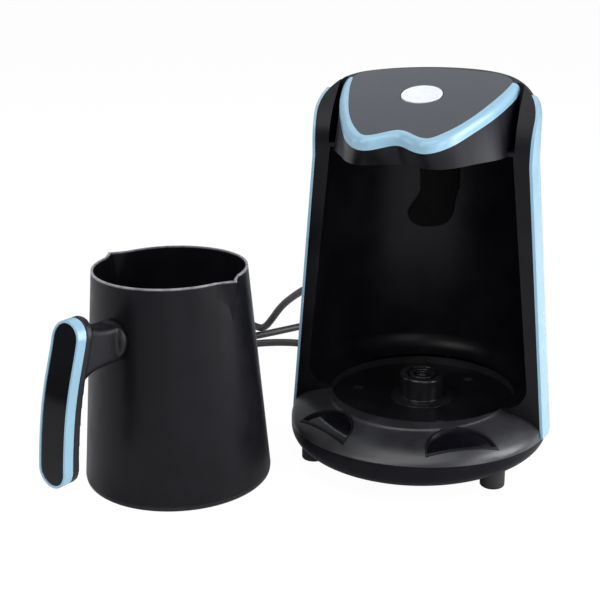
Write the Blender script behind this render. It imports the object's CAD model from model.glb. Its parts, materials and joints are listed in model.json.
import bpy
import json
import math
from mathutils import Matrix, Vector


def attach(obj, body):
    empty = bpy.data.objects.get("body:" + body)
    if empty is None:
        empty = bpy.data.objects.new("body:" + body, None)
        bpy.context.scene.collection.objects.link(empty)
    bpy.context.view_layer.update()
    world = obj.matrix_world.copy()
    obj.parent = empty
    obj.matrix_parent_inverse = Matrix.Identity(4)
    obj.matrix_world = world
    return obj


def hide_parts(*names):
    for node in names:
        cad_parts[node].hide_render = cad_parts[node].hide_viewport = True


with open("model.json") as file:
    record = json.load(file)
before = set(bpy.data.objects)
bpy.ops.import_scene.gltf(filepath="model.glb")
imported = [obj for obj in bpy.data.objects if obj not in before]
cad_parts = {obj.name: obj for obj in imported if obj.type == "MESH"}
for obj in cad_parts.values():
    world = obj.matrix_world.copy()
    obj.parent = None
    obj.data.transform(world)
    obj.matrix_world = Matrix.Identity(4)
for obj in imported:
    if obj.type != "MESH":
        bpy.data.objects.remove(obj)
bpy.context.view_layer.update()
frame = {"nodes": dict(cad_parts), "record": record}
NODES = frame["nodes"]

# Everything below is in metres in the row frame. The machine's own axis stands here.
AXIS = Vector((0.0458727, 0.0481677, 0.0))


def at(x, y, z):
    """Place given in millimetres from the machine's axis."""
    return AXIS + Vector((x, y, z)) / 1000


# ------------------------------------------------------------------------------ camera
def make_camera():
    data = bpy.data.cameras.new("camera")
    data.sensor_width = 36.0
    data.lens = 70.17
    data.clip_start = 0.01
    data.clip_end = 50.0
    camera = bpy.data.objects.new("camera", data)
    bpy.context.scene.collection.objects.link(camera)
    forward = Vector((-0.3377, 0.8891, -0.3089)).normalized()
    level = Vector((0.9348, 0.3551, 0.0)).normalized()
    rise = level.cross(forward).normalized()
    roll = -0.0114
    right = level * math.cos(roll) + rise * math.sin(roll)
    up = rise * math.cos(roll) - level * math.sin(roll)
    turn = Matrix((right, up, -forward)).transposed().to_4x4()
    camera.matrix_world = Matrix.Translation(at(153.97, -598.73, 284.36)) @ turn
    bpy.context.scene.camera = camera


make_camera()

# ---------------------------------------------------------------------------- the lead
CORD_D = 0.005
FLOOR = CORD_D / 2 * 1000   # height of the cord's middle where it lies on the table, in mm
EXIT = (-72, 60, 58.5)     # where the lead leaves its strain relief
ROUTE = (
    EXIT, (-84, 71.5, 58.5), (-101, 87.5, 55.5), (-119.5, 105.5, 41),
    (-131, 114, 30.5), (-140.5, 120, 18), (-148.5, 124.5, 8.8), (-158, 130, 7.8),
    (-167, 140, 7.2), (-174, 150, 4.2), (-186, 157.5, FLOOR),
    (-200.5, 158.5, FLOOR), (-216, 147, FLOOR), (-221.5, 129, FLOOR), (-216, 111, FLOOR),
    (-200.5, 100, FLOOR), (-181.5, 100.5, FLOOR), (-166, 112, FLOOR), (-150, 131, FLOOR),
    (-135, 150.5, FLOOR), (-121.5, 168.5, FLOOR), (-104, 177.5, FLOOR), (-85, 177.5, FLOOR),
    (-70, 166.5, FLOOR), (-64, 148.5, FLOOR), (-70, 130.5, FLOOR), (-85, 119.5, FLOOR),
    (-104, 118.5, FLOOR), (-122, 122, FLOOR), (-146, 113.5, FLOOR), (-162, 97, FLOOR),
    (-180, 86, FLOOR), (-201, 86, FLOOR),
)
COIL_AT = (-212.0, 58.0)
COIL_STEP = 24            # degrees between the coil's control points
COIL_CUT = 0.978          # the line runs this far inside its control points
# Angle in degrees, radius and height in millimetres; the coil runs evenly between them.
COIL_MARKS = ((90, 28.55, 2.5), (395, 28.55, 2.5), (432, 23.3, 2.5), (722, 23.3, 2.5),
              (765, 24.8, 7.6), (830, 26.1, 7.4), (930, 26.1, 7.4), (954, 28.5, 7.6))
TAIL = ((-219.5, 27.2, 7.3), (-213, 24.4, 7.5), (-207.8, 22.2, 9.2))   # into the plug


def coil_points():
    """Turns of the coil, from the end of the loose stretch to the plug."""
    points = []
    for angle in range(COIL_MARKS[0][0], COIL_MARKS[-1][0] + 1, COIL_STEP):
        for (a0, r0, z0), (a1, r1, z1) in zip(COIL_MARKS, COIL_MARKS[1:]):
            if a0 <= angle <= a1:
                share = (angle - a0) / (a1 - a0)
                radius = (r0 + (r1 - r0) * share) / COIL_CUT
                height = z0 + (z1 - z0) * share
        turn = math.radians(angle)
        points.append((COIL_AT[0] + radius * math.cos(turn),
                       COIL_AT[1] + radius * math.sin(turn), height))
    return points


def make_cord():
    points = list(ROUTE) + coil_points() + list(TAIL)
    data = bpy.data.curves.new("mains_cord", "CURVE")
    data.dimensions = "3D"
    data.bevel_depth = 1.0    # times each point's own radius
    data.bevel_resolution = 5
    data.resolution_u = 10
    data.use_fill_caps = True
    spline = data.splines.new("NURBS")
    spline.points.add(len(points) - 1)
    for point, place in zip(spline.points, points):
        point.co = (*at(*place), 1.0)
        point.radius = CORD_D / 2
    spline.order_u = 3
    spline.use_endpoint_u = True
    cord = bpy.data.objects.new("mains_cord", data)
    bpy.context.scene.collection.objects.link(cord)
    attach(cord, "machine")
    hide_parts("cord_tube", "cord_coil")
    return cord


# ----------------------------------------------------------------------- small builders
def mesh_piece(name, verts, faces, body, slot, *stands_for):
    data = bpy.data.meshes.new(name)
    data.from_pydata([tuple(v) for v in verts], [], faces)
    data.validate()
    data.shade_smooth()
    piece = bpy.data.objects.new(name, data)
    bpy.context.scene.collection.objects.link(piece)
    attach(piece, body)
    if stands_for:
        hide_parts(*stands_for)
    return piece


def lathe(name, profile, start, way, body, slot, *stands_for, around=64):
    """Turn (distance along, radius) pairs, in millimetres, round a line."""
    way = Vector(way).normalized()
    side = way.orthogonal().normalized()
    other = way.cross(side)
    verts, faces = [], []
    for along, radius in profile:
        middle = Vector(start) + way * along / 1000
        for step in range(around):
            angle = 2 * math.pi * step / around
            out = side * math.cos(angle) + other * math.sin(angle)
            verts.append(middle + out * radius / 1000)
    for ring in range(len(profile) - 1):
        for step in range(around):
            a = ring * around + step
            b = ring * around + (step + 1) % around
            faces.append((a, b, b + around, a + around))
    faces.append(tuple(reversed(range(around))))
    last = (len(profile) - 1) * around
    faces.append(tuple(range(last, last + around)))
    piece = mesh_piece(name, verts, faces, body, slot, *stands_for)
    piece.data.set_sharp_from_angle(angle=math.radians(50))
    return piece


def make_relief():
    """Ribbed, tapered strain relief on the back of the machine."""
    way = Vector((-0.722, 0.692, 0.0)).normalized()
    length, r0, r1 = 28.0, 5.2, 3.6
    root = at(*EXIT) - way * length / 1000
    profile = [(-6.0, r0)]
    for index in range(7):
        low = 6.5 + index * 2.9
        radius = r0 + (r1 - r0) * low / length
        profile += [(low, radius), (low + 0.25, radius - 0.25), (low + 0.35, radius - 0.95),
                    (low + 1.25, radius - 0.95), (low + 1.35, radius - 0.3),
                    (low + 1.6, radius - 0.08)]
    profile += [(length - 0.5, r1), (length, r1 - 0.4)]
    return lathe("relief_sleeve", profile, root, way, "machine", "cable_rubber",
                 "strain_relief")


cord = make_cord()
relief = make_relief()

# --------------------------------------------------------------------------- materials
BLACK = (0.0052, 0.0052, 0.0072, 1)
SKY = (0.25, 0.43, 0.55, 1)


class Paint:
    """Material made of procedural layers over one surface shader."""

    def __init__(self, name, metallic=0.0, ior_level=0.5):
        self.material = bpy.data.materials.new(name)
        self.material.use_nodes = True
        self.tree = self.material.node_tree
        self.tree.nodes.clear()
        self.out = self.tree.nodes.new("ShaderNodeOutputMaterial")
        self.shader = self.tree.nodes.new("ShaderNodeBsdfPrincipled")
        self.tree.links.new(self.shader.outputs[0], self.out.inputs["Surface"])
        self.shader.inputs["Metallic"].default_value = metallic
        self.shader.inputs["Specular IOR Level"].default_value = ior_level
        self.place = self.tree.nodes.new("ShaderNodeTexCoord").outputs["Object"]

    def node(self, kind, **inputs):
        made = self.tree.nodes.new(kind)
        for key, value in inputs.items():
            self.put(made.inputs[key.replace("_", " ")], value)
        return made

    def put(self, socket, value):
        if isinstance(value, bpy.types.NodeSocket):
            self.tree.links.new(value, socket)
        else:
            socket.default_value = value

    def noise(self, size, detail=4.0, rough=0.55, stretch=(1, 1, 1)):
        """Cloudy pattern whose features are about size metres across."""
        place = self.node("ShaderNodeMapping", Vector=self.place, Scale=stretch)
        return self.node("ShaderNodeTexNoise", Vector=place.outputs[0], Scale=1 / size,
                         Detail=detail, Roughness=rough).outputs["Fac"]

    def spread(self, value, low, high, start=0.0, end=1.0):
        made = self.tree.nodes.new("ShaderNodeMapRange")
        made.interpolation_type = "SMOOTHSTEP"
        for socket, number in zip(made.inputs[:5], (value, start, end, low, high)):
            self.put(socket, number)
        return made.outputs[0]

    def math(self, operation, a, b=0.0, clamp=False):
        made = self.tree.nodes.new("ShaderNodeMath")
        made.operation = operation
        made.use_clamp = clamp
        self.put(made.inputs[0], a)
        self.put(made.inputs[1], b)
        return made.outputs[0]

    def mix(self, share, a, b):
        made = self.tree.nodes.new("ShaderNodeMix")
        made.data_type = "RGBA"
        self.put(made.inputs[0], share)
        self.put(made.inputs[6], a)
        self.put(made.inputs[7], b)
        return made.outputs[2]

    def colour(self, value):
        self.put(self.shader.inputs["Base Color"], value)

    def rough(self, value):
        self.put(self.shader.inputs["Roughness"], value)

    def bump(self, height, strength, depth):
        bump = self.node("ShaderNodeBump", Strength=strength, Distance=depth, Height=height)
        if self.shader.inputs["Normal"].is_linked:
            last = self.shader.inputs["Normal"].links[0].from_socket
            self.put(bump.inputs["Normal"], last)
        self.put(self.shader.inputs["Normal"], bump.outputs[0])

    def axis(self, name):
        split = self.node("ShaderNodeSeparateXYZ", Vector=self.place)
        return split.outputs[name]


def moulded(name, base, rough, grain=0.0004, depth=0.00002, ior_level=0.5, cloud=0.25,
            scuffs=0.0):
    """Injection-moulded plastic: fine grain, cloudy gloss, and some faint scuffs."""
    p = Paint(name, ior_level=ior_level)
    clouds = p.noise(0.02, 5.0)
    speck = p.noise(grain, 2.0)
    lighter = tuple(min(1, c * (1 + cloud) + 0.0003) for c in base[:3]) + (1,)
    darker = tuple(c * (1 - cloud) for c in base[:3]) + (1,)
    p.colour(p.mix(p.spread(clouds, 0, 1, 0.3, 0.7), darker, lighter))
    gloss = p.math("ADD", p.spread(clouds, -0.04, 0.05, 0.3, 0.7), rough)
    gloss = p.math("ADD", gloss, p.spread(speck, -0.03, 0.03, 0.35, 0.65))
    if scuffs:
        lines = p.noise(0.0006, 1.0, 0.4, (1.0, 0.03, 1.0))
        across = p.noise(0.0006, 1.0, 0.4, (0.04, 1.0, 0.6))
        marks = p.math("ADD", p.spread(lines, 0, 1, 0.70, 0.76),
                       p.spread(across, 0, 1, 0.70, 0.76))
        gloss = p.math("ADD", gloss, p.math("MULTIPLY", marks, scuffs))
    p.rough(gloss)
    p.bump(speck, 0.35, depth)
    return p


def metal(name, base, rough, stretch=(1, 1, 12)):
    """Bare metal with drawn or turned lines."""
    p = Paint(name, metallic=1.0)
    lines = p.noise(0.0005, 3.0, 0.6, stretch)
    clouds = p.noise(0.006, 3.0)
    dark = tuple(c * 0.72 for c in base[:3]) + (1,)
    p.colour(p.mix(p.spread(clouds, 0, 1, 0.3, 0.7), dark, base))
    p.rough(p.math("ADD", p.spread(lines, -0.08, 0.1, 0.3, 0.7), rough))
    p.bump(lines, 0.3, 0.00002)
    return p


def coated_pot():
    """Matte coated metal; the rim, where the coating is rubbed thin, is lighter."""
    p = moulded("pot_coating", BLACK, 0.38, grain=0.0007, depth=0.00002, ior_level=0.15,
                cloud=0.2)
    height = p.axis("Z")
    wear = p.noise(0.004, 3.0)
    rim = p.spread(height, 0, 1, 0.1143, 0.1152)
    rim = p.math("MULTIPLY", rim, p.spread(wear, 0.55, 1.0, 0.3, 0.6))
    base = p.shader.inputs["Base Color"].links[0].from_socket
    p.colour(p.mix(rim, base, (0.30, 0.30, 0.32, 1)))
    return p


def board():
    """Green circuit board with copper-toned tracks and pads."""
    p = Paint("circuit_board", ior_level=0.5)
    bricks = p.node("ShaderNodeTexBrick", Vector=p.place, Scale=160.0)
    for key, colour in (("Color1", (0.012, 0.10, 0.035, 1)), ("Color2", (0.02, 0.14, 0.05, 1)),
                        ("Mortar", (0.045, 0.22, 0.08, 1))):
        bricks.inputs[key].default_value = colour
    dots = p.tree.nodes.new("ShaderNodeTexVoronoi")
    p.put(dots.inputs["Vector"], p.place)
    dots.inputs["Scale"].default_value = 300.0
    pads = p.spread(dots.outputs["Distance"], 1, 0, 0.10, 0.16)
    p.colour(p.mix(pads, bricks.outputs["Color"], (0.55, 0.5, 0.42, 1)))
    p.rough(p.spread(p.noise(0.002), 0.25, 0.45))
    return p


def button_paint():
    """Silver lacquer with a fine sparkle."""
    p = Paint("button_silver", metallic=0.1, ior_level=0.5)
    sparkle = p.noise(0.00025, 2.0)
    clouds = p.noise(0.004, 4.0)
    tone = p.mix(p.spread(sparkle, 0, 1, 0.42, 0.62), (0.66, 0.68, 0.73, 1),
                 (0.82, 0.84, 0.88, 1))
    p.colour(p.mix(p.spread(clouds, 0, 0.4, 0.3, 0.7), tone, (0.9, 0.91, 0.95, 1)))
    p.rough(p.spread(sparkle, 0.28, 0.42, 0.3, 0.7))
    return p


PAINTS = {
    "black_satin": moulded("black_satin", BLACK, 0.34, depth=0.000012, ior_level=0.17,
                           scuffs=0.06),
    "black_plastic": moulded("black_plastic", BLACK, 0.36, depth=0.00002, ior_level=0.3),
    "dark_gloss": moulded("dark_gloss", (0.004, 0.004, 0.006, 1), 0.10, grain=0.003,
                          depth=0.000003, ior_level=0.5, scuffs=0.14),
    "deck_satin": moulded("deck_satin", (0.016, 0.016, 0.019, 1), 0.36, depth=0.000012,
                          ior_level=0.6, scuffs=0.10),
    "post_black": moulded("post_black", (0.010, 0.010, 0.012, 1), 0.24, ior_level=0.5),
    "insert_gloss": moulded("insert_gloss", (0.002, 0.002, 0.0035, 1), 0.10, grain=0.003,
                            depth=0.000003, ior_level=0.14, scuffs=0.05),
    "bowl_black": moulded("bowl_black", BLACK, 0.40, depth=0.00002, ior_level=0.07, scuffs=0.05),
    "hood_black": moulded("hood_black", (0.0012, 0.0012, 0.0016, 1), 0.5, ior_level=0.06),
    "blue_plastic": moulded("blue_plastic", SKY, 0.22, depth=0.000005, cloud=0.03),
    "button_silver": button_paint(),
    "rubber": moulded("rubber", (0.014, 0.014, 0.015, 1), 0.7, grain=0.0009, depth=0.00006),
    "steel": metal("steel", (0.50, 0.51, 0.53, 1), 0.32),
    "brass": metal("brass", (0.78, 0.57, 0.26, 1), 0.25, (1, 1, 1)),
    "nickel": metal("nickel", (0.72, 0.72, 0.71, 1), 0.18, (1, 1, 1)),
    "circuit_board": board(),
    "relay_case": moulded("relay_case", (0.03, 0.09, 0.30, 1), 0.3, cloud=0.15),
    "aluminium_can": metal("aluminium_can", (0.6, 0.61, 0.63, 1), 0.3),
    "transformer_core": moulded("transformer_core", (0.62, 0.46, 0.08, 1), 0.4, cloud=0.2),
    "white_nylon": moulded("white_nylon", (0.70, 0.69, 0.64, 1), 0.42, cloud=0.08),
    "cable_rubber": moulded("cable_rubber", (0.011, 0.011, 0.012, 1), 0.42, grain=0.0008,
                            depth=0.00003),
    "tie_plastic": moulded("tie_plastic", (0.02, 0.02, 0.021, 1), 0.5, depth=0.00004),
    "pot_coating": coated_pot(),
    "aluminium_plate": metal("aluminium_plate", (0.62, 0.63, 0.65, 1), 0.38, (1, 12, 1)),
}


def dress(piece, slot):
    """Give every face of a piece one material."""
    piece.data.materials.clear()
    piece.data.materials.append(PAINTS[slot].material)


# ------------------------------------------------------------- the pieces that CAD made
BEVELS = {"top_cap": 0.0008, "front_shell": 0.0009, "back_housing": 0.0006, "deck": 0.0006,
          "base_bowl": 0.0006, "head_shell": 0.0008, "head_trim": 0.0003,
          "top_panel": 0.0004, "side_panel_left": 0.0006, "side_panel_right": 0.0006,
          "handle_trim": 0.0005, "handle_insert": 0.0003, "handle_body": 0.0006,
          "pot_body": 0.0004, "power_button": 0.0002, "well_plate": 0.0003,
          "deck_window_rims": 0.0002, "plug_body": 0.0006, "cord_tie": 0.0003,
          "rubber_feet": 0.0004, "sensor_hood": 0.0005, "coupling_post": 0.0005}


PAINT_OF = {"sensor_hood": "hood_black", "sensor_lens": "hood_black", "deck": "deck_satin",
            "coupling_post": "post_black", "handle_insert": "insert_gloss",
            "base_bowl": "bowl_black"}
MELTED = {"handle_body": 0.0005}


def melt(piece, size):
    """Let the joins of a moulding run into each other."""
    remesh = piece.modifiers.new("melt", "REMESH")
    remesh.mode = "VOXEL"
    remesh.voxel_size = size
    remesh.use_smooth_shade = True
    smooth = piece.modifiers.new("smooth", "SMOOTH")
    smooth.factor = 0.5
    smooth.iterations = 14


def soften(piece, width):
    """Rounded edges that catch the light, on a mesh that keeps its own points."""
    data = piece.data
    if "custom_normal" in data.attributes:
        data.attributes.remove(data.attributes["custom_normal"])
    data.shade_smooth()
    weld = piece.modifiers.new("weld", "WELD")
    weld.merge_threshold = 0.000002
    bevel = piece.modifiers.new("bevel", "BEVEL")
    bevel.width = width
    bevel.segments = 3
    bevel.limit_method = "ANGLE"
    bevel.angle_limit = math.radians(38)
    bevel.use_clamp_overlap = True
    bevel.harden_normals = False
    bevel.miter_outer = "MITER_ARC"
    normal = piece.modifiers.new("normals", "WEIGHTED_NORMAL")
    normal.keep_sharp = False
    normal.weight = 80


SLOT_OF = {s["node"]: s["material_slot"] for s in frame["record"]["subparts"]}
for name, piece in NODES.items():
    if piece.hide_render:
        continue
    dress(piece, PAINT_OF.get(name, SLOT_OF[name]))
    if name in MELTED:
        melt(piece, MELTED[name])
    else:
        soften(piece, BEVELS.get(name, 0.00015))
dress(cord, "cable_rubber")
dress(relief, "cable_rubber")


# ------------------------------------------------------------- light, floor, background
def light(name, place, target, size, power, colour=(1, 1, 1), height=None):
    data = bpy.data.lights.new(name, "AREA")
    data.energy = power
    data.color = colour
    data.size = size
    if height:
        data.shape = "RECTANGLE"
        data.size_y = height
    lamp = bpy.data.objects.new(name, data)
    bpy.context.scene.collection.objects.link(lamp)
    lamp.location = place
    way = Vector(target) - Vector(place)
    lamp.rotation_euler = way.to_track_quat("-Z", "Y").to_euler()


light("key", (-0.45, -0.95, 1.05), (0, 0, 0.08), 0.8, 6.0, (1.0, 0.995, 0.99))
light("top", (0.03, -0.22, 1.25), (0.03, -0.02, 0.05), 0.9, 6.5, (0.97, 0.98, 1.0))
light("back", (-0.34, 0.98, 1.02), (0.03, 0.05, 0.2), 0.8, 1.4, (0.80, 0.88, 1.0), 0.7)
light("right", (0.95, 0.25, 0.45), (0.05, 0.05, 0.1), 0.35, 10.0, (0.95, 0.96, 1.0), 1.0)
light("strip", (1.0, -0.30, 0.32), (-0.05, -0.03, 0.07), 0.2, 2.6, (1, 1, 1), 0.8)
light("front_right", (0.55, -1.0, 0.35), (0.02, 0.0, 0.08), 0.5, 1.6, (1, 1, 1), 0.7)
light("left", (-1.1, -0.15, 0.45), (-0.05, 0, 0.1), 0.4, 2.0, (1, 1, 1), 0.9)


def white_for_view(tree, glossy):
    """Share of white that camera, mirror and see-through rays are shown."""
    path = tree.nodes.new("ShaderNodeLightPath")
    soft = tree.nodes.new("ShaderNodeMath")
    soft.operation = "MULTIPLY"
    tree.links.new(path.outputs["Is Glossy Ray"], soft.inputs[0])
    soft.inputs[1].default_value = glossy
    total = soft.outputs[0]
    for key in ("Is Camera Ray", "Is Transmission Ray"):
        add = tree.nodes.new("ShaderNodeMath")
        add.use_clamp = True
        tree.links.new(total, add.inputs[0])
        tree.links.new(path.outputs[key], add.inputs[1])
        total = add.outputs[0]
    return total


def make_world():
    world = bpy.data.worlds.new("studio")
    bpy.context.scene.world = world
    world.use_nodes = True
    tree = world.node_tree
    tree.nodes.clear()
    out = tree.nodes.new("ShaderNodeOutputWorld")
    mix = tree.nodes.new("ShaderNodeMixShader")
    dim = tree.nodes.new("ShaderNodeBackground")
    dim.inputs["Color"].default_value = (0.96, 0.97, 1.0, 1)
    dim.inputs["Strength"].default_value = 0.27
    white = tree.nodes.new("ShaderNodeBackground")
    white.inputs["Color"].default_value = (1, 1, 1, 1)
    white.inputs["Strength"].default_value = 1.0
    tree.links.new(white_for_view(tree, 0.05), mix.inputs[0])
    tree.links.new(dim.outputs[0], mix.inputs[1])
    tree.links.new(white.outputs[0], mix.inputs[2])
    tree.links.new(mix.outputs[0], out.inputs[0])


def make_floor():
    data = bpy.data.meshes.new("floor")
    reach = 6.0
    data.from_pydata([(-reach, -reach, -0.0003), (reach, -reach, -0.0003),
                      (reach, reach, -0.0003), (-reach, reach, -0.0003)], [], [(0, 1, 2, 3)])
    floor = bpy.data.objects.new("floor", data)
    bpy.context.scene.collection.objects.link(floor)
    material = bpy.data.materials.new("pale_floor")
    material.use_nodes = True
    tree = material.node_tree
    tree.nodes.clear()
    out = tree.nodes.new("ShaderNodeOutputMaterial")
    mix = tree.nodes.new("ShaderNodeMixShader")
    matte = tree.nodes.new("ShaderNodeBsdfDiffuse")
    matte.inputs["Color"].default_value = (0.86, 0.86, 0.87, 1)
    glow = tree.nodes.new("ShaderNodeEmission")
    glow.inputs["Color"].default_value = (1, 1, 1, 1)
    glow.inputs["Strength"].default_value = 1.03
    share = tree.nodes.new("ShaderNodeMath")
    share.operation = "MULTIPLY"
    share.inputs[1].default_value = 0.94
    tree.links.new(white_for_view(tree, 0.05), share.inputs[0])
    tree.links.new(share.outputs[0], mix.inputs[0])
    tree.links.new(matte.outputs[0], mix.inputs[1])
    tree.links.new(glow.outputs[0], mix.inputs[2])
    tree.links.new(mix.outputs[0], out.inputs[0])
    data.materials.append(material)


make_world()
make_floor()
bpy.context.scene.view_settings.view_transform = "Standard"
